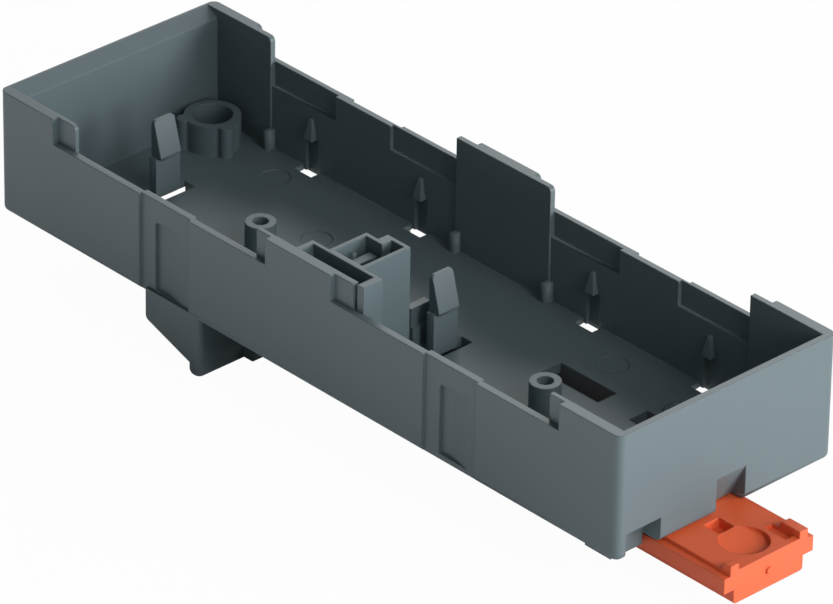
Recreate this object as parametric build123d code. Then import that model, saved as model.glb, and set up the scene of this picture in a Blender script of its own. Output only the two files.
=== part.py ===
from build123d import *
import os

# Base of an electronics housing that clips onto a 35 mm rail, with its sliding rail catch.
# Sizes are in millimetres. The drawing frame has X from the left end of the tray, Y from its
# front face and Z from its underside. Both pieces are moved at the end to the part frame:
# origin at the bottom centre of the whole part, +X towards the catch, +Z up.

# The tray is a row of equal bays and a short end bay
bay_pitch = 50.0
bay_count = 2
end_bay = 8.4
length = bay_count * bay_pitch + end_bay
width = 35.0
rim_z = 16.8
low_rim_z = 13.3
rebate_z = 10.0
floor_t = 1.4
front_t = 0.95
back_t = 1.2
end_t = 2.2
corner_r = 1.0
base_edge_r = 0.8

# The long walls' tongues stand high round the start of each bay, in an outer and an inner leaf.
# Both are given as their reach from the bay's start.
front_outer_tongue = (-1.5, 10.0)
front_inner_tongue = (-3.9, 13.2)
front_leaf_t = 0.85
front_pad_t = 0.5
back_outer_tongue = (-1.9, 9.0)
back_inner_tongue = (-4.3, 12.1)
back_leaf_t = 0.7
back_pad_t = 0.25
tongue_r = 0.7

# The end walls slope down into the tray from a lip
end_lips = (0.3, 0.9)
end_bevel_z = 1.2

# Shallow channels down the outside of both long walls, each with a deeper pocket that ramps out.
# The wall is padded inside there, so its rim keeps its thickness.
channel_x0 = 25.85
channel_x1 = 34.8
channel_d = 0.4
pocket_x0 = 28.4
pocket_x1 = 33.2
pocket_ramp = 2.8
pocket_d = 0.85
pocket_z0 = 0.8
pocket_z1 = 10.3
pocket_r = 0.6
rebate_gap = (23.8, 33.7)

# Board clips on the back wall. A recess runs from each down through the floor.
nib_xs = (19.6, 39.4)
nib_w = 1.5
nib_tip_w = 0.5
nib_reach = 0.85
nib_under_z = 5.7
nib_tip_z = 8.5
nib_recess_w = 2.1
nib_recess_d = 0.7
nib_hole_w = 3.1
nib_hole_d = 1.6

# Board rests at the ends of the back tongues
rest_starts = (-4.4, 11.65)
rest_w = 1.05
rest_d = 1.2
rest_z = 4.0

# Spring arms with snap heads, one in each bay, each in a slot through the floor
arm_x = 12.2
arm_y = 16.6
arm_t = 1.2
arm_w = 4.0
arm_toe_x = 1.0
arm_toe_z = 0.75
head_w = 3.3
head_under_z = 6.6
head_top_z = 11.6
head_reach = 0.55
head_edge_z = 0.3
head_top_t = 0.45
head_r = 0.5
arm_slot_x = (11.5, 13.4)
arm_slot_y = (14.1, 19.9)

# Screw bosses for the board
boss_x = 30.0
boss_y = 15.9
boss_od = 3.9
boss_z = 5.2
pilot_d = 2.0
pilot_floor_z = 1.0

# Round socket in the left corner, with two round lobes
socket_x = 6.5
socket_y = 28.9
socket_od = 7.2
socket_bore_d = 5.2
socket_z = 5.5
lobe_r = 0.9
lobe_angles = (-116, -14)
lobe_centre_r = 3.7

# Low ring by the right end
ring_from_end = 17.1
ring_y = 27.1
ring_od = 3.9
ring_id = 3.0
ring_z = 1.8

# Marks that the ejector pins leave on the floor
ejector_d = 4.0
ejector_depth = 0.12
ejector_places = ((18.2, 28.9), (32.9, 22.5), (bay_pitch + 28.2, 28.8))

# Contact block in the middle of the front wall
block_x0 = bay_pitch + 2.4
block_x1 = bay_pitch + 14.7
block_back_y = 4.0
block_back_wall = 0.5
block_end_wall = 1.1
block_front_y = 0.9
slot_end_wall = 0.75
slot_floor_z = 6.0
chamber_x0 = bay_pitch + 5.3
chamber_x1 = bay_pitch + 11.3
chamber_y1 = 11.5
chamber_wall = 0.55
cheek_y1 = 8.6
ledge_x = bay_pitch + 7.3
ledge_t = 1.3
ledge_drop = 1.3
chamber_floor_z = 6.0
key_w = 0.6
key_ys = (5.1, 6.8)
key_gap_w = 0.8

# Stepped board stop beside the second spring arm
stop_x = bay_pitch + 9.3
stop_y0 = 13.6
stop_w = 3.2
stop_t = 1.2
stop_step = 0.4
stop_step_z = 4.1
stop_z = 6.6

# Right end wall: a tapered tool recess and a corner pocket
tool_y0 = 16.0
tool_w = 4.7
tool_z = 4.7
corner_y0 = 1.5
corner_y1 = 7.05
corner_z = 3.3
corner_depth = 2.9
corner_wall = 1.4
corner_rib_drop = 1.6
corner_rib_len = 4.2

# Rail and rail seat. The rail's two flanges lie between the seat and the hooks below them.
rail_w = 35.0
rail_t = 1.0
rail_play = 0.2
seat_drop = 5.0
clip_y = 14.8
seat_rib_t = 1.2
seat_rib_offsets = (-7.6, 0.0, 7.6, 15.2)
seat_rib_gap = 1.2

# Fixed foot
foot_len = 9.7
foot_wall_t = 1.7
foot_heel_z = 3.5
foot_toe_z = 6.2
foot_z = 7.6
foot_r = 0.7
gusset_t = 1.4
gusset_count = 4
hook_reach = 2.0
hook_w = 15.0

# Guides that carry the catch under the floor: start from the tray's right end, extra length there
guide_places = ((34.7, 1.8), (20.0, 0.0))
guide_len = 9.5
guide_sides = ((-1, 8.9, 0.7, 2.2), (1, 9.8, 1.4, 3.1))
guide_lug_t = 1.1

# Catch
catch_from_end = 9.9
catch_head_play = 0.2
flange_w = 14.4
flange_t = 2.0
flange_drop = 0.65
deck_w = 12.5
body_w = 11.2
body_drop = 4.6
body_wall = 1.2
body_r = 0.4
deck_t = 1.6
nose_t = 2.6
nose_reach = 2.0
nose_lead = 0.9
end_plate_t = 1.0
stub_lens = (1.3, 3.2)
stub_w = 1.3
stub_rise = 0.9
stub_r = 0.4
tool_slot_from_end = 0.5
tool_slot_len = 2.5
tool_slot_w = 2.5
tool_slot_d = 1.2
thumb_r = 3.0
thumb_d = 1.1
side_dip_len = 3.4
side_dip_w = 1.3
side_dip_d = 0.5
gate_d = 0.9
gate_t = 0.25

cut_over = 1.0
embed = 0.3

inner_back_y = width - back_t
bay_starts = [bay_pitch * n for n in range(bay_count)]
tongue_starts = bay_starts + [bay_pitch * bay_count]
rebates = ((back_inner_tongue[1], rebate_gap[0]), (rebate_gap[1], bay_pitch + back_inner_tongue[0]))
rail_x0 = (length - rail_w) / 2
rail_x1 = rail_x0 + rail_w
hook_top_z = -(seat_drop + rail_t + rail_play)
catch_end_x = length + catch_from_end
lug_top_z = -(flange_drop + flange_t + catch_head_play)


def span(x0, x1, y0, y1, z0, z1):
    """A straight block between two opposite corners."""
    middle = Pos((x0 + x1) / 2, (y0 + y1) / 2, (z0 + z1) / 2)
    return middle * Box(abs(x1 - x0), abs(y1 - y0), abs(z1 - z0))


def side_profile(points, y0, y1):
    """A profile drawn in X and Z, run from y0 to y1."""
    outline = Polyline(*points, close=True)
    return extrude(Plane.XZ.offset(-y0) * make_face(outline), amount=-(y1 - y0))


def cross_profile(points, x0, x1):
    """A profile drawn in Y and Z, run from x0 to x1."""
    outline = Polyline(*points, close=True)
    return extrude(Plane.YZ.offset(x0) * make_face(outline), amount=x1 - x0)


def post(x, y, diameter, z0, z1):
    return Pos(x, y, z0) * extrude(Circle(diameter / 2), amount=z1 - z0)


def edges_at(shape, axis, places):
    """The edges along an axis whose middles lie at one of the places. None in a place fits any."""
    def fits(edge):
        middle = edge.center()
        for place in places:
            pairs = zip(place, (middle.X, middle.Y, middle.Z))
            if all(value is None or abs(value - got) < 0.02 for value, got in pairs):
                return True
        return False
    return shape.edges().filter_by(axis).filter_by(fits)


def tray_shell():
    """Floor and four walls at full height."""
    outline = Pos(length / 2, width / 2) * RectangleRounded(length, width, corner_r)
    shell = extrude(outline, amount=rim_z)
    shell = fillet(shell.faces().sort_by(Axis.Z)[0].edges(), base_edge_r)
    return shell - span(end_t, length - end_t, front_t, inner_back_y, floor_t, rim_z + cut_over)


def wall_pads():
    """The walls are thicker behind the tongues and behind the channels."""
    pads = []
    for start in tongue_starts:
        for (low, high), y0, y1 in (
            (front_inner_tongue, front_t - embed, front_t + front_pad_t),
            (back_inner_tongue, inner_back_y - back_pad_t, inner_back_y + embed),
        ):
            x0 = max(start + low, end_t - embed)
            x1 = min(start + high, length - end_t + embed)
            pads.append(span(x0, x1, y0, y1, floor_t - embed, rim_z))
    for start in bay_starts:
        pads.append(span(start + channel_x0, start + channel_x1, front_t - embed, front_t + channel_d,
                         floor_t - embed, low_rim_z))
        pads.append(span(start + rebate_gap[0], start + rebate_gap[1], inner_back_y - back_pad_t,
                         inner_back_y + embed, floor_t - embed, low_rim_z))
    return pads


def end_bevels():
    """The inner top edge of each end wall slopes down into the tray."""
    y0, y1 = front_t + front_pad_t, inner_back_y - back_pad_t
    bevels = []
    for lip in end_lips:
        slope = [(lip, rim_z + cut_over), (lip, rim_z), (end_t, rim_z - end_bevel_z),
                 (end_t + embed, rim_z - end_bevel_z), (end_t + embed, rim_z + cut_over)]
        bevels.append(side_profile(slope, y0, y1))
    return [bevels[0], mirror(bevels[1], Plane.YZ.offset(length / 2))]


def rim_cuts():
    """Lowers the long walls between the tongues, leaf by leaf."""
    cuts = []
    leaves = (
        (front_outer_tongue, -cut_over, front_leaf_t),
        (front_inner_tongue, front_leaf_t, front_t + 2 * front_pad_t),
        (back_inner_tongue, inner_back_y - 2 * back_pad_t, width - back_leaf_t),
        (back_outer_tongue, width - back_leaf_t, width + cut_over),
    )
    for (low, high), y0, y1 in leaves:
        for start in bay_starts:
            cuts.append(span(start + high, start + bay_pitch + low, y0, y1, low_rim_z, rim_z + cut_over))
    for start in bay_starts:
        for x0, x1 in rebates:
            y0, y1 = inner_back_y - 2 * back_pad_t, width - back_leaf_t
            cuts.append(span(start + x0, start + x1, y0, y1, rebate_z, low_rim_z + cut_over))
    return cuts


def round_tongues(tray):
    """Rounds the free top corners of the tongues."""
    places = []
    for start in bay_starts:
        places.append((start + back_inner_tongue[1], None, rim_z))
        places.append((start + back_outer_tongue[1], None, rim_z))
        places.append((start + bay_pitch + back_outer_tongue[0], None, rim_z))
        places.append((start + front_inner_tongue[1], None, rim_z))
    return fillet(edges_at(tray, Axis.Y, places), tongue_r)


def wall_channel(start):
    """One channel in the front wall, and its deeper pocket with a rounded upper corner."""
    x0, x1 = start + channel_x0, start + channel_x1
    shallow = span(x0, x1, -cut_over, channel_d, -cut_over, rim_z + cut_over)
    x0, x1 = start + pocket_x0, start + pocket_x1
    plan = [(x0, -cut_over), (x0, pocket_d), (x1 - pocket_ramp, pocket_d), (x1, channel_d), (x1, -cut_over)]
    deep = Pos(0, 0, pocket_z0) * extrude(make_face(Polyline(*plan, close=True)), amount=pocket_z1 - pocket_z0)
    deep = fillet(edges_at(deep, Axis.Y, [(x0, None, pocket_z1)]), pocket_r)
    return shallow + deep


def board_nib(x):
    """A clip on the back wall: a tapered lead-in over a flat underside."""
    inside = nib_recess_d + embed
    base = Plane.XY.offset(nib_under_z) * Pos(x, inner_back_y - (nib_reach - inside) / 2)
    tip = Plane.XY.offset(nib_tip_z) * Pos(x, inner_back_y)
    return loft([base * Rectangle(nib_w, nib_reach + inside), tip * Rectangle(nib_tip_w, 2 * embed)])


def nib_opening(x):
    """The floor is open in front of the wall, and the recess takes the mould's core up to the clip."""
    y1 = inner_back_y
    hole = span(x - nib_hole_w / 2, x + nib_hole_w / 2, y1 - nib_hole_d, y1, -cut_over, floor_t + cut_over)
    recess = span(x - nib_recess_w / 2, x + nib_recess_w / 2, y1 - embed, y1 + nib_recess_d, -cut_over, nib_under_z)
    return hole + recess


def spring_arm(start):
    """An upright arm with a cut-back toe, and a snap head that leans towards the catch end."""
    face_x = start + arm_x
    back_x = face_x - arm_t
    leg = [(back_x, 0), (face_x - arm_toe_x, 0), (face_x, arm_toe_z), (face_x, head_under_z), (back_x, head_under_z)]
    head = [(back_x, head_under_z - embed), (face_x, head_under_z - embed), (face_x, head_under_z),
            (face_x + head_reach, head_under_z), (face_x + head_reach, head_under_z + head_edge_z),
            (back_x + head_top_t, head_top_z), (back_x, head_top_z)]
    arm = side_profile(leg, arm_y - arm_w / 2, arm_y + arm_w / 2)
    top = side_profile(head, arm_y - head_w / 2, arm_y + head_w / 2)
    sides = [(None, arm_y - head_w / 2, head_top_z), (None, arm_y + head_w / 2, head_top_z)]
    return arm + fillet(edges_at(top, Axis.X, sides), head_r)


def arm_opening(start):
    """The slot round the arm's foot, which leaves the arm's back joined to the floor."""
    x0, x1 = (start + x for x in arm_slot_x)
    slot = span(x0, x1, *arm_slot_y, -cut_over, floor_t + cut_over)
    return slot - span(x0 - embed, start + arm_x, arm_y - arm_w / 2, arm_y + arm_w / 2, -2 * cut_over,
                       floor_t + 2 * cut_over)


def toe_cut(start):
    """Clears the floor under the arm's cut-back toe."""
    x1 = start + arm_x
    toe = [(x1 - arm_toe_x, 0), (x1, arm_toe_z), (x1 + embed, arm_toe_z), (x1 + embed, -cut_over),
           (x1 - arm_toe_x, -cut_over)]
    return side_profile(toe, arm_y - arm_w / 2, arm_y + arm_w / 2)


def corner_socket():
    """A round socket with two lobes on its wall."""
    wall = post(socket_x, socket_y, socket_od, floor_t - embed, socket_z)
    for angle in lobe_angles:
        centre = Pos(socket_x, socket_y) * Rot(0, 0, angle) * Pos(lobe_centre_r, 0)
        wall += post(centre.position.X, centre.position.Y, 2 * lobe_r, floor_t - embed, socket_z)
    return wall - post(socket_x, socket_y, socket_bore_d, floor_t, socket_z + cut_over)


def low_ring():
    x = length - ring_from_end
    ring = post(x, ring_y, ring_od, floor_t - embed, ring_z)
    return ring - post(x, ring_y, ring_id, floor_t, ring_z + cut_over)


def contact_block():
    """A narrow box behind the front wall and a chamber behind it, with one low cheek."""
    z0 = floor_t - embed
    block = span(block_x0, block_x1, front_t - embed, block_back_y, z0, rim_z)
    block += span(block_x1 - block_end_wall, block_x1, block_front_y, block_back_y, z0, rim_z)
    block += span(chamber_x0, ledge_x + ledge_t, block_back_y - embed, cheek_y1 + key_gap_w + chamber_wall, z0, rim_z)
    return block + span(ledge_x, chamber_x1, block_back_y - embed, chamber_y1, z0, rim_z)


def contact_cavities():
    """What is open inside the block."""
    top = rim_z + cut_over
    slot = span(block_x0 + slot_end_wall, block_x1 - block_end_wall, front_t + front_pad_t,
                block_back_y - block_back_wall, slot_floor_z, top)
    y0 = block_back_y + embed
    keyed = span(chamber_x0 + chamber_wall, ledge_x, y0, cheek_y1, chamber_floor_z, top)
    for y in key_ys:
        keyed -= span(chamber_x0 + chamber_wall, chamber_x0 + chamber_wall + key_w, y, y + key_w,
                      chamber_floor_z, rim_z - ledge_drop)
    shelf = span(ledge_x - embed, ledge_x + ledge_t, y0, cheek_y1, rim_z - ledge_drop, top)
    deep = span(ledge_x + ledge_t, chamber_x1 - chamber_wall, y0, chamber_y1 - chamber_wall, chamber_floor_z, top)
    gap = span(chamber_x0 + chamber_wall, ledge_x + ledge_t + embed, cheek_y1, cheek_y1 + key_gap_w,
               chamber_floor_z, top)
    return [slot, keyed, shelf, deep, gap]


def board_stop():
    """A stepped stop: the board lies on its lower part and meets its upper part."""
    z0 = floor_t - embed
    lower = span(stop_x - stop_t, stop_x + stop_step, stop_y0, stop_y0 + stop_w, z0, stop_step_z)
    return lower + span(stop_x - stop_t, stop_x, stop_y0, stop_y0 + stop_w, z0, stop_z)


def tool_recess():
    """A recess in the end wall that deepens downwards, for a screwdriver's blade."""
    taper = [(length + cut_over, tool_z), (length, tool_z), (length - end_t, 0),
             (length - end_t, -cut_over), (length + cut_over, -cut_over)]
    return side_profile(taper, tool_y0, tool_y0 + tool_w)


def corner_pocket_body():
    """A boxed-in corner, raised inside the tray, round the pocket that is cut into it."""
    x0 = length - corner_depth - corner_wall
    body = span(x0, length - end_t + embed, front_t - embed, corner_y1 + corner_wall,
                floor_t - embed, corner_z + corner_wall)
    rib_x0 = length - corner_depth - corner_rib_len
    return body + span(rib_x0, length - corner_depth, corner_y0 + 0.5, corner_y1, -corner_rib_drop, embed)


def corner_pocket_cut():
    return span(length - corner_depth, length + cut_over, corner_y0, corner_y1, -cut_over, corner_z)


def seat_ribs():
    """Ribs under the floor, whose lower edges are the rail seat."""
    ribs = []
    for offset in seat_rib_offsets:
        y = clip_y + offset
        ribs.append(span(rail_x0 - embed, rail_x1 - seat_rib_gap, y - seat_rib_t / 2, y + seat_rib_t / 2,
                         -seat_drop, embed))
    return ribs


def fixed_foot():
    """A cross wall behind the rail, with gussets, and a hook under the rail's flange."""
    wall_x = rail_x0 - foot_wall_t
    heel_x = rail_x0 - foot_len
    wall = span(wall_x, rail_x0, 0, width, -foot_z, floor_t / 2)
    wall = fillet(edges_at(wall, Axis.Z, [(rail_x0, 0, None), (rail_x0, width, None)]), foot_r)
    heel = [(heel_x, floor_t / 2), (heel_x, -foot_heel_z), (wall_x, -foot_toe_z),
            (wall_x + embed, -foot_toe_z), (wall_x + embed, floor_t / 2)]
    pitch = (width - gusset_t) / (gusset_count - 1)
    for n in range(gusset_count):
        gusset = side_profile(heel, n * pitch, n * pitch + gusset_t)
        wall += fillet(edges_at(gusset, Axis.Y, [(heel_x, None, -foot_heel_z)]), foot_r)
    wall += span(rail_x0 - embed, rail_x0 + hook_reach, clip_y - hook_w / 2, clip_y + hook_w / 2,
                 -foot_z, hook_top_z)
    toe_edges = [(wall_x, None, -foot_z), (rail_x0 + hook_reach, None, -foot_z)]
    return fillet(edges_at(wall, Axis.Y, toe_edges), foot_r)


def catch_guides():
    """Short walls under the floor, each with a lug that holds the catch's flange."""
    guides = []
    for from_end, extra in guide_places:
        x0 = length - from_end
        for side, from_middle, wall_t, reach in guide_sides:
            inner = clip_y + side * from_middle
            outer = inner + side * wall_t
            low = lug_top_z - guide_lug_t
            guides.append(span(x0 - extra, x0 + guide_len, inner, outer, low, embed))
            guides.append(span(x0 - extra, x0 + guide_len, inner - side * reach, outer, low, lug_top_z))
    return guides


def guide_openings():
    """The floor is open above each lug, where the mould's core came through."""
    openings = []
    for from_end, _ in guide_places:
        x0 = length - from_end
        for side, from_middle, _, reach in guide_sides:
            inner = clip_y + side * from_middle
            openings.append(span(x0, x0 + guide_len, inner - side * reach, inner, -cut_over, floor_t + cut_over))
    return openings


def housing_base():
    tray = tray_shell()
    for pad in wall_pads():
        tray += pad
    tray -= end_bevels()
    tray = round_tongues(tray - rim_cuts())
    for start in bay_starts:
        channel = wall_channel(start)
        tray -= channel + mirror(channel, Plane.XZ.offset(-width / 2))
        for x in nib_xs:
            tray -= nib_opening(start + x)
            tray += board_nib(start + x)
        tray += post(start + boss_x, boss_y, boss_od, floor_t - embed, boss_z)
        tray -= post(start + boss_x, boss_y, pilot_d, pilot_floor_z, boss_z + cut_over)
        tray -= arm_opening(start)
        tray -= toe_cut(start)
        tray += spring_arm(start)
    for start in tongue_starts:
        for offset in rest_starts:
            x0 = start + offset
            if end_t < x0 < length - end_t - rest_w:
                tray += span(x0, x0 + rest_w, inner_back_y - rest_d, inner_back_y + embed, floor_t - embed, rest_z)
    tray += corner_socket()
    tray += low_ring()
    tray += contact_block()
    tray -= contact_cavities()
    tray += board_stop()
    for x, y in ejector_places:
        tray -= post(x, y, ejector_d, floor_t - ejector_depth, floor_t + cut_over)
    tray -= tool_recess()
    tray += corner_pocket_body()
    tray -= corner_pocket_cut()
    tray += fixed_foot()
    for piece in seat_ribs() + catch_guides():
        tray += piece
    return tray - guide_openings()


def rail_catch():
    """The sliding catch: a flanged deck with its nose under the rail and a pull at its far end."""
    top = -catch_head_play
    nose_x0 = rail_x1 + rail_play
    y = clip_y
    half_flange, half_deck, half_body = flange_w / 2, deck_w / 2, body_w / 2
    half = [(half_deck, top), (half_deck, -flange_drop), (half_flange, -flange_drop),
            (half_flange, -flange_drop - flange_t), (half_body, -flange_drop - flange_t), (half_body, -body_drop)]
    section = [(y - reach, z) for reach, z in half] + [(y + reach, z) for reach, z in reversed(half)]
    catch = cross_profile(section, nose_x0, catch_end_x)
    rounds = [(None, y - half_body, -body_drop), (None, y + half_body, -body_drop)]
    catch = fillet(edges_at(catch, Axis.X, rounds), body_r)
    catch -= span(nose_x0 + nose_t, catch_end_x - 3 * thumb_r, y - half_body + body_wall, y + half_body - body_wall,
                  -body_drop - cut_over, top - deck_t)
    nose_x1 = nose_x0 - nose_reach
    nose = [(nose_x0 + nose_t, -body_drop + 2 * embed), (nose_x0 + nose_t, -foot_z), (nose_x1 + nose_lead, -foot_z),
            (nose_x1, -foot_z + nose_lead), (nose_x1, hook_top_z), (nose_x0, hook_top_z),
            (nose_x0, -body_drop + 2 * embed)]
    catch += side_profile(nose, y - half_body, y + half_body)
    catch += catch_pull(top, y)
    return catch - catch_recesses(top, y)


def catch_pull(top, y):
    """Stubs that stand up at both corners of the pull's end plate, and the moulding gate."""
    pieces = []
    for side, stub_len in zip((-1, 1), stub_lens):
        outer = y + side * deck_w / 2
        stub = span(catch_end_x - stub_len, catch_end_x, outer - side * stub_w, outer, -flange_drop, top + stub_rise)
        pieces.append(fillet(edges_at(stub, Axis.Y, [(catch_end_x - stub_len, None, top + stub_rise)]), stub_r))
    gate = Plane.YZ.offset(catch_end_x - embed) * Pos(y, -body_drop / 2) * Circle(gate_d / 2)
    pieces.append(extrude(gate, amount=embed + gate_t))
    return pieces


def catch_recesses(top, y):
    """A slot for a screwdriver, a round thumb hollow that deepens to the pull, and a shallow dip."""
    slot_x0 = length + tool_slot_from_end
    slot = span(slot_x0, slot_x0 + tool_slot_len, y - tool_slot_w / 2, y + tool_slot_w / 2,
                top - tool_slot_d, top + cut_over)
    thumb_x = catch_end_x - end_plate_t - thumb_r
    slope = [(thumb_x - thumb_r, top), (thumb_x + thumb_r, top - thumb_d), (thumb_x + thumb_r, top + cut_over),
             (thumb_x - thumb_r, top + cut_over)]
    round_post = post(thumb_x, y, 2 * thumb_r, top - 2 * thumb_d, top + cut_over)
    bowl = round_post & side_profile(slope, y - thumb_r, y + thumb_r)
    dip_x1 = catch_end_x - end_plate_t
    dip_y = y + deck_w / 2 - stub_w
    dip = span(dip_x1 - side_dip_len, dip_x1, dip_y - side_dip_w, dip_y, top - side_dip_d, top + cut_over)
    return [slot, bowl, dip]


def write_parts():
    to_part_frame = Pos(-(catch_end_x + gate_t) / 2, -width / 2, foot_z)
    os.makedirs("parts", exist_ok=True)
    export_step(to_part_frame * housing_base(), "parts/housing_base.step")
    export_step(to_part_frame * rail_catch(), "parts/rail_catch.step")


write_parts()
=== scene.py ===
import math

import bmesh
import bpy
from mathutils import Matrix, Vector


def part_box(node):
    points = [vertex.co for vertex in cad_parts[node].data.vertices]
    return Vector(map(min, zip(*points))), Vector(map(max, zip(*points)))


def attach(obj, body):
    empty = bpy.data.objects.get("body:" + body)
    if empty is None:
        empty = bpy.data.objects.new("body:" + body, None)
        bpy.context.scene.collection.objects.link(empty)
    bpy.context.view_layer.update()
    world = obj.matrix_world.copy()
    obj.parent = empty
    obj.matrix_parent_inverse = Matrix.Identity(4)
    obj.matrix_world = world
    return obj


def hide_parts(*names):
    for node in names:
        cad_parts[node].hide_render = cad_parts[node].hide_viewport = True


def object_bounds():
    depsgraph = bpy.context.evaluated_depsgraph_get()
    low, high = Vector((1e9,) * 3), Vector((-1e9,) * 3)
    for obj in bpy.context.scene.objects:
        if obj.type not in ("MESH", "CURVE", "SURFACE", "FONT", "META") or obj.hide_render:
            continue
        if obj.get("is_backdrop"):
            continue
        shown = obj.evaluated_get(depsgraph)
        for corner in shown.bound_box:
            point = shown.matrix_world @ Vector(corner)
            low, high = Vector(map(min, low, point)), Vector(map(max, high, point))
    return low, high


# The looks of a grey housing base for electronics and its orange rail catch.
# Lengths are in metres where no name or comment says mm. The row frame has its origin at
# the bottom centre of the part, +X towards the catch's pull and +Z up.

MM = 0.001

# The photograph's view of the part
CAMERA_AZIMUTH = math.radians(46.65)
CAMERA_ELEVATION = math.radians(30.51)
CAMERA_ROLL = math.radians(0.95)
CAMERA_DISTANCE = 0.8736
CAMERA_AIM_MM = (-1.84, -1.25, 13.37)
CAMERA_LENS_MM = 317.3
CAMERA_SENSOR_MM = 36.0
CAMERA_CLIP_END = 10.0

# The studio's light and its table
ROOM_LIGHT = 0.17
TABLE_GLOW = 0.97
TABLE_SEEN = 0.97
# GLOW_EDGE: how far beyond the part the painted shadow under it fades into the table's full glow
GLOW_EDGE = 0.04
TABLE_HALF = 3.0

# The plastics' surfaces
GREY_GRAIN = 0.25 * MM
GREY_CLOUD = 14 * MM
GREY_EDGE_RADIUS = 0.22 * MM
ORANGE_GRAIN = 0.4 * MM
ORANGE_EDGE_RADIUS = 0.2 * MM
GRAIN_DEPTH = 0.02 * MM

# The housing in mm, from the tray's front left corner at the floor's underside
RIM_Z = 16.8
BAY_STARTS = (0.0, 50.0)
CLIP_XS = (19.6, 39.4)

# What is cut from the housing, as limits in X, Y and Z in the same mm. The two cores under
# a board clip count X from that clip, and a pad on the back wall counts it from its bay's start.
CLIP_CORE_BELOW = ((-2.3, 1.4), (32.3, 34.7), (-0.5, 0.75))
CLIP_CORE_ABOVE = ((-0.5, 1.4), (32.3, 33.9), (0.7, 2.0))
BACK_PAD = ((23.79, 33.71), (33.5, 33.79), (1.45, 13.4))
ARM_POCKET = ((10.5, 11.6), (14.5, 20.6), (-0.5, 0.6))
SLOT_NOTCH = ((63.2, 63.6), (-0.1, 1.46), (13.3, 17.2))
NOTCH_STEP = ((63.5, 64.8), (0.5, 0.9), (13.3, 17.2))

# The slanted core in front of the left spring arm's toe: its outline in X and Z, its limits in Y
ARM_TOE_XZ = ((10.6, -0.3), (12.25, 1.3), (12.6, 1.3), (12.6, -0.3))
ARM_TOE_Y = (14.5, 18.7)

# How the cut mesh is merged and shaded
MERGE_DISTANCE = 0.001 * MM
SHARP_ANGLE = math.radians(30)
SAME_PLANE_ANGLE = math.radians(0.4)
FACET_AREA = 7.0 * MM * MM


def linear(hex_colour):
    """An sRGB hex colour as linear RGBA."""
    channels = [int(hex_colour[i : i + 2], 16) / 255 for i in (1, 3, 5)]
    return [c / 12.92 if c <= 0.04045 else ((c + 0.055) / 1.055) ** 2.4 for c in channels] + [1.0]


def add(tree, kind, settings=None, values=None, links=None):
    """Adds one node with its settings, its socket values and the links into it."""
    node = tree.nodes.new(kind)
    for name, value in (settings or {}).items():
        setattr(node, name, value)
    for socket, value in (values or {}).items():
        node.inputs[socket].default_value = value
    for socket, source in (links or {}).items():
        tree.links.new(source, node.inputs[socket])
    return node


def add_to_scene(name, data):
    """A new object with its data, linked to the scene."""
    thing = bpy.data.objects.new(name, data)
    bpy.context.scene.collection.objects.link(thing)
    return thing


def new_material(name):
    material = bpy.data.materials.new(name)
    material.use_nodes = True
    material.node_tree.nodes.clear()
    return material


def grey_abs():
    """Grey ABS, injection moulded in a spark-eroded mould: even, dull, with a very fine grain."""
    material = new_material("spark_textured_grey_abs")
    tree = material.node_tree
    place = add(tree, "ShaderNodeTexCoord")
    grain = add(tree, "ShaderNodeTexNoise", values={"Scale": 1 / GREY_GRAIN, "Detail": 3.0},
                links={"Vector": place.outputs["Object"]})
    cloud = add(tree, "ShaderNodeTexNoise", values={"Scale": 1 / GREY_CLOUD, "Detail": 2.0},
                links={"Vector": place.outputs["Object"]})
    tint = add(tree, "ShaderNodeValToRGB", links={"Fac": cloud.outputs["Fac"]})
    tint.color_ramp.elements[0].color = linear("#5b6a6f")
    tint.color_ramp.elements[1].color = linear("#5f6e73")
    edge = add(tree, "ShaderNodeBevel", {"samples": 4}, {"Radius": GREY_EDGE_RADIUS})
    bump = add(tree, "ShaderNodeBump", values={"Strength": 0.12, "Distance": GRAIN_DEPTH},
               links={"Height": grain.outputs["Fac"], "Normal": edge.outputs["Normal"]})
    shader = add(tree, "ShaderNodeBsdfPrincipled", values={"Roughness": 0.5, "IOR": 1.53},
                 links={"Base Color": tint.outputs["Color"], "Normal": bump.outputs["Normal"]})
    add(tree, "ShaderNodeOutputMaterial", links={"Surface": shader.outputs["BSDF"]})
    return material


def orange_pom():
    """Orange acetal, moulded: smooth and a little glossier than the housing."""
    material = new_material("moulded_orange_acetal")
    tree = material.node_tree
    place = add(tree, "ShaderNodeTexCoord")
    grain = add(tree, "ShaderNodeTexNoise", values={"Scale": 1 / ORANGE_GRAIN, "Detail": 2.0},
                links={"Vector": place.outputs["Object"]})
    tint = add(tree, "ShaderNodeValToRGB", links={"Fac": grain.outputs["Fac"]})
    tint.color_ramp.elements[0].color = linear("#df5f36")
    tint.color_ramp.elements[1].color = linear("#e5653c")
    edge = add(tree, "ShaderNodeBevel", {"samples": 4}, {"Radius": ORANGE_EDGE_RADIUS})
    bump = add(tree, "ShaderNodeBump", values={"Strength": 0.05, "Distance": GRAIN_DEPTH},
               links={"Height": grain.outputs["Fac"], "Normal": edge.outputs["Normal"]})
    shader = add(tree, "ShaderNodeBsdfPrincipled", values={"Roughness": 0.4, "IOR": 1.48},
                 links={"Base Color": tint.outputs["Color"], "Normal": bump.outputs["Normal"]})
    add(tree, "ShaderNodeOutputMaterial", links={"Surface": shader.outputs["BSDF"]})
    return material


def view_axes():
    """Right, up and back of the camera as unit vectors."""
    az, el = CAMERA_AZIMUTH, CAMERA_ELEVATION
    back = Vector((math.sin(az) * math.cos(el), -math.cos(az) * math.cos(el), math.sin(el)))
    right = Vector((math.cos(az), math.sin(az), 0.0))
    up = back.cross(right)
    turn = Matrix.Rotation(CAMERA_ROLL, 3, back)
    return turn @ right, turn @ up, back


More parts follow.
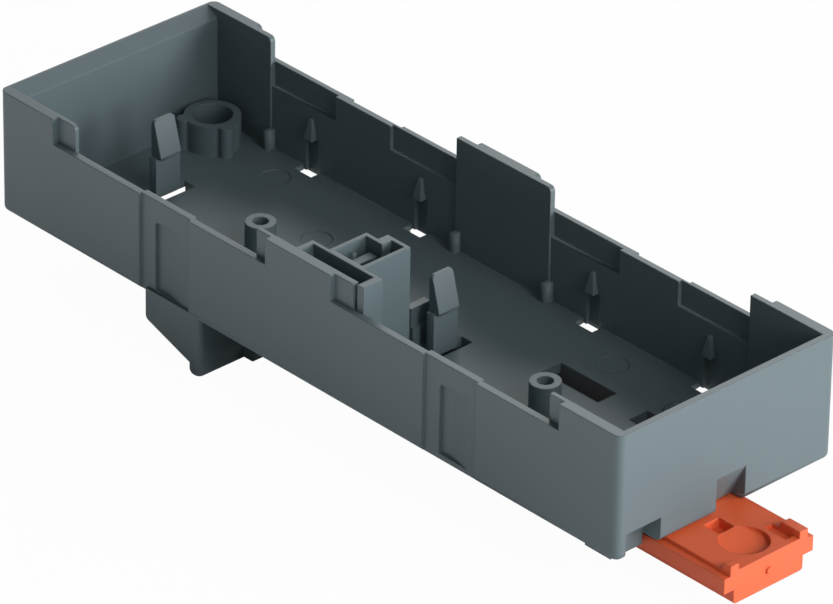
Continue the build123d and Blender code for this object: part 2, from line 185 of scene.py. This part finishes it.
def make_camera():
    data = bpy.data.cameras.new("camera")
    data.sensor_width = CAMERA_SENSOR_MM
    data.lens = CAMERA_LENS_MM
    data.clip_end = CAMERA_CLIP_END
    camera = add_to_scene("camera", data)
    right, up, back = view_axes()
    turn = Matrix((right, up, back)).transposed().to_4x4()
    place = Vector(CAMERA_AIM_MM) * MM + back * CAMERA_DISTANCE
    camera.matrix_world = Matrix.Translation(place) @ turn
    bpy.context.scene.camera = camera


def make_lights():
    """Soft lamps: three at the catch's end, low, high and close, and a weak one behind on the left."""
    centre = Vector((0.0, 0.0, 0.0))
    catch = Vector((0.055, -0.003, 0.008))
    # Name, place, aim, size in metres and power in watts
    lamps = (
        ("low_right", Vector((0.66, 0.42, 0.19)), centre, 0.4, 5.2),
        ("high_right", Vector((0.57, 0.00, 0.57)), centre, 0.4, 1.4),
        ("near_catch", Vector((0.20, -0.02, 0.085)), catch, 0.06, 0.09),
        ("back_left", Vector((-0.40, 0.56, 0.40)), centre, 0.4, 2.4),
    )
    for name, place, aim, size, power in lamps:
        data = bpy.data.lights.new(name, "AREA")
        data.shape = "SQUARE"
        data.size = size
        data.energy = power
        lamp = add_to_scene(name, data)
        lamp.location = place
        lamp.rotation_mode = "QUATERNION"
        lamp.rotation_quaternion = (aim - place).to_track_quat("-Z", "Y")


def make_world():
    """Even studio white behind, a plain level of light on the part."""
    world = bpy.data.worlds.new("studio")
    world.use_nodes = True
    tree = world.node_tree
    tree.nodes.clear()
    white = linear("#ffffff")
    path = add(tree, "ShaderNodeLightPath")
    light = add(tree, "ShaderNodeBackground", values={"Color": white, "Strength": ROOM_LIGHT})
    seen = add(tree, "ShaderNodeBackground", values={"Color": white, "Strength": 1.0})
    mix = add(tree, "ShaderNodeMixShader",
              links={0: path.outputs["Is Camera Ray"], 1: light.outputs[0], 2: seen.outputs[0]})
    add(tree, "ShaderNodeOutputWorld", links={"Surface": mix.outputs[0]})
    bpy.context.scene.world = world


def light_table():
    """White, glowing round the part as an emitting fill light, with a painted shadow under the part
    where the glow is cut off, and a faint real shadow where it is seen.
    """
    material = new_material("white_light_table")
    tree = material.node_tree
    low, high = (Vector(corner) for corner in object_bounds())
    place = add(tree, "ShaderNodeTexCoord")
    across = add(tree, "ShaderNodeVectorMath", {"operation": "ABSOLUTE"},
                 links={0: place.outputs["Object"]})
    beyond = add(tree, "ShaderNodeVectorMath", {"operation": "SUBTRACT"}, {1: (high - low) / 2},
                 {0: across.outputs[0]})
    axes = add(tree, "ShaderNodeSeparateXYZ", links={0: beyond.outputs[0]})
    reach = add(tree, "ShaderNodeMath", {"operation": "MAXIMUM"},
                links={0: axes.outputs["X"], 1: axes.outputs["Y"]})
    # Painted shadow: the glow that lights the part is zero over the part's footprint and rises to full
    # over GLOW_EDGE beyond it
    glow_with_painted_shadow = add(tree, "ShaderNodeMapRange", {"interpolation_type": "SMOOTHSTEP"},
                     {"From Min": 0.0, "From Max": GLOW_EDGE, "To Min": 0.0, "To Max": TABLE_GLOW},
                     {"Value": reach.outputs[0]})
    path = add(tree, "ShaderNodeLightPath")
    diffuse = add(tree, "ShaderNodeBsdfDiffuse", values={"Color": linear("#f4f4f4")})
    glow = add(tree, "ShaderNodeEmission", values={"Color": linear("#ffffff"), "Strength": 1.0})
    share = add(tree, "ShaderNodeMix", {"data_type": "FLOAT"}, {"B": TABLE_SEEN},
                {"Factor": path.outputs["Is Camera Ray"], "A": glow_with_painted_shadow.outputs["Result"]})
    mix = add(tree, "ShaderNodeMixShader",
              links={0: share.outputs["Result"], 1: diffuse.outputs[0], 2: glow.outputs[0]})
    add(tree, "ShaderNodeOutputMaterial", links={"Surface": mix.outputs[0]})
    return material


def make_floor():
    """The table that the part stands on."""
    half = TABLE_HALF
    corners = [(-half, -half, 0), (half, -half, 0), (half, half, 0), (-half, half, 0)]
    mesh = bpy.data.meshes.new("table")
    mesh.from_pydata(corners, [], [(0, 1, 2, 3)])
    mesh.materials.append(light_table())
    add_to_scene("table", mesh)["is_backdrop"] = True


def paint(mesh, material):
    mesh.materials.clear()
    mesh.materials.append(material)


def tray_corner():
    """The point that the housing's own mm are counted from."""
    low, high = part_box("housing_base")
    return Vector((low.x, low.y, high.z - RIM_Z * MM))


def prism(outline, ys):
    """A cutter with an outline in X and Z between two limits in Y, in the housing's own mm."""
    count = len(outline)
    points = [tray_corner() + Vector((x, y, z)) * MM for y in ys for x, z in outline]
    sides = [(i, (i + 1) % count, (i + 1) % count + count, i + count) for i in range(count)]
    ends = [tuple(reversed(range(count))), tuple(range(count, 2 * count))]
    mesh = bpy.data.meshes.new("cutter")
    mesh.from_pydata(points, [], sides + ends)
    form = bmesh.new()
    form.from_mesh(mesh)
    bmesh.ops.recalc_face_normals(form, faces=form.faces)
    form.to_mesh(mesh)
    form.free()
    return add_to_scene("cutter", mesh)


def block(limits, shift=0.0):
    """A box-shaped cutter between limits in X, Y and Z, shifted along X."""
    (x0, x1), ys, (z0, z1) = limits
    x0, x1 = x0 + shift, x1 + shift
    return prism([(x0, z0), (x1, z0), (x1, z1), (x0, z1)], ys)


def housing_cuts():
    """The mould's cores under the clips and the left arm, the back wall's pads, the slot's notch."""
    cuts = []
    for start in BAY_STARTS:
        for clip in CLIP_XS:
            cuts.append(block(CLIP_CORE_BELOW, start + clip))
            cuts.append(block(CLIP_CORE_ABOVE, start + clip))
        cuts.append(block(BACK_PAD, start))
    cuts.append(prism(ARM_TOE_XZ, ARM_TOE_Y))
    cuts.append(block(ARM_POCKET))
    cuts.append(block(SLOT_NOTCH))
    cuts.append(block(NOTCH_STEP))
    return cuts


def merged_copy(source, name):
    """A copy of a CAD node's mesh with the points of neighbouring faces merged."""
    form = bmesh.new()
    form.from_mesh(source.data)
    bmesh.ops.remove_doubles(form, verts=form.verts, dist=MERGE_DISTANCE)
    mesh = bpy.data.meshes.new(name)
    form.to_mesh(mesh)
    form.free()
    return add_to_scene(name, mesh)


def cut_away(piece, cutters):
    """Takes the cutters' room from a piece and removes them."""
    for cutter in cutters:
        modifier = piece.modifiers.new("cut", "BOOLEAN")
        modifier.operation = "DIFFERENCE"
        modifier.solver = "EXACT"
        modifier.object = cutter
    depsgraph = bpy.context.evaluated_depsgraph_get()
    mesh = bpy.data.meshes.new_from_object(piece.evaluated_get(depsgraph))
    piece.modifiers.clear()
    piece.data = mesh
    for cutter in cutters:
        bpy.data.objects.remove(cutter)


def shade(mesh):
    """Smooth over the narrow facets of rounds, flat on the planes."""
    mesh.set_sharp_from_angle(angle=SHARP_ANGLE)
    form = bmesh.new()
    form.from_mesh(mesh)
    waiting = set(form.faces)
    while waiting:
        plane = []
        reached = [waiting.pop()]
        while reached:
            face = reached.pop()
            plane.append(face)
            for edge in face.edges:
                for other in edge.link_faces:
                    if other in waiting and other.normal.angle(face.normal, 0.0) < SAME_PLANE_ANGLE:
                        waiting.discard(other)
                        reached.append(other)
        is_facet = sum(face.calc_area() for face in plane) < FACET_AREA
        for face in plane:
            face.smooth = is_facet
    form.to_mesh(mesh)
    form.free()


def finished_housing(material):
    """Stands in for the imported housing, with the small cuts that it lacks."""
    shell = merged_copy(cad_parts["housing_base"], "housing_shell")
    cut_away(shell, housing_cuts())
    shade(shell.data)
    paint(shell.data, material)
    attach(shell, "base")
    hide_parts("housing_base")


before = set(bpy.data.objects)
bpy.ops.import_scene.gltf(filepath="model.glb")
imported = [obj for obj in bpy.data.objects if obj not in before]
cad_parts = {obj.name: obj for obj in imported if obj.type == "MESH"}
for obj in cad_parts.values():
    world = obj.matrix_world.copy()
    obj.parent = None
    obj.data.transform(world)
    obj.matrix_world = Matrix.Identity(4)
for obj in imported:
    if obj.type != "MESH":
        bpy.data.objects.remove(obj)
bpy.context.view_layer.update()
bpy.context.scene.view_settings.view_transform = "Standard"
make_camera()
make_lights()
make_world()
make_floor()
finished_housing(grey_abs())
paint(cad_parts["rail_catch"].data, orange_pom())
